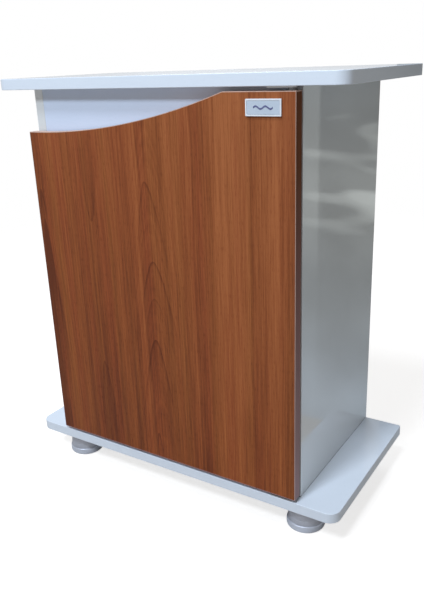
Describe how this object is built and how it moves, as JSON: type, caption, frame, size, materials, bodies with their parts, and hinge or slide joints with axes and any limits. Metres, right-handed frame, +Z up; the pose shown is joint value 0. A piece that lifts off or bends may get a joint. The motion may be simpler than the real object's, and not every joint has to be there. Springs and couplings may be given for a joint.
{
  "type": "aquarium stand cabinet",
  "caption": "White laminated cabinet that carries an aquarium, on round silver feet, with a walnut-look door whose top edge sweeps down to one side as a grip.",
  "frame": {"origin": "on the floor, under the middle of the object's bounding box", "axes": "+Z up, +X to the right seen from the front, front (door) towards -Y"},
  "size_m": [0.64, 0.3244, 0.728],
  "materials": {
    "white_laminate": "white melamine-faced chipboard, semi-gloss; side panels high gloss",
    "white_edging": "white edging strip, satin",
    "back_board": "white-faced hardboard, matt",
    "walnut_foil": "reddish walnut-look foil with straight upright grain, satin",
    "walnut_edging": "dark brown edging strip, semi-gloss",
    "hinge_steel": "bright zinc-plated steel",
    "zinc_plate": "dull zinc-plated steel",
    "white_nylon": "white moulded nylon",
    "magnet": "sintered ferrite",
    "clear_rubber": "clear soft bumper",
    "badge_plastic": "chromed-look pale plastic",
    "badge_face": "pale blue-grey label",
    "badge_mark": "printed navy wave",
    "satin_aluminium": "turned and satin anodised"
  },
  "bodies": {
    "cabinet": {"base_panel": "white_laminate", "top_panel": "white_laminate", "side_panel_left": "white_laminate", "side_panel_right": "white_laminate", "front_fascia": "white_laminate", "rear_rail": "white_laminate", "shelf": "white_laminate", "base_edge_band": "white_edging", "top_edge_band": "white_edging", "back_panel": "back_board", "shelf_pin_front_left": "zinc_plate", "foot_front_left": "satin_aluminium", "foot_bolt_front_left": "zinc_plate", "cam_lock_lower_front_left": "zinc_plate", "cam_lock_upper_front_left": "zinc_plate", "shelf_pin_front_right": "zinc_plate", "foot_front_right": "satin_aluminium", "foot_bolt_front_right": "zinc_plate", "cam_lock_lower_front_right": "zinc_plate", "cam_lock_upper_front_right": "zinc_plate", "shelf_pin_rear_left": "zinc_plate", "foot_rear_left": "satin_aluminium", "foot_bolt_rear_left": "zinc_plate", "cam_lock_lower_rear_left": "zinc_plate", "cam_lock_upper_rear_left": "zinc_plate", "shelf_pin_rear_right": "zinc_plate", "foot_rear_right": "satin_aluminium", "foot_bolt_rear_right": "zinc_plate", "cam_lock_lower_rear_right": "zinc_plate", "cam_lock_upper_rear_right": "zinc_plate", "hinge_lower_plate": "hinge_steel", "hinge_lower_pin": "hinge_steel", "hinge_lower_washer": "white_nylon", "hinge_lower_screw_1": "zinc_plate", "hinge_lower_screw_2": "zinc_plate", "hinge_upper_plate": "hinge_steel", "hinge_upper_pin": "hinge_steel", "hinge_upper_washer": "white_nylon", "hinge_upper_screw_1": "zinc_plate", "hinge_upper_screw_2": "zinc_plate", "catch_housing": "white_nylon", "catch_magnet": "magnet", "catch_screw_1": "zinc_plate", "catch_screw_2": "zinc_plate"},
    "door": {"door_panel": "walnut_foil", "door_band_top": "walnut_edging", "door_band_bottom": "walnut_edging", "door_band_left": "walnut_edging", "door_band_right": "walnut_edging", "hinge_lower_leaf": "hinge_steel", "door_bumper_lower": "clear_rubber", "hinge_upper_leaf": "hinge_steel", "door_bumper_upper": "clear_rubber", "catch_strike": "hinge_steel", "catch_strike_screw": "zinc_plate", "badge_plate": "badge_plastic", "badge_insert": "badge_face", "badge_wave": "badge_mark"}
  },
  "joints": [
    {"name": "door_hinge", "type": "hinge", "parent": "cabinet", "child": "door", "pos_m": [0.241, -0.15075, 0.074], "axis": [0, 0, 1], "range_deg": [0, 180]}
  ]
}
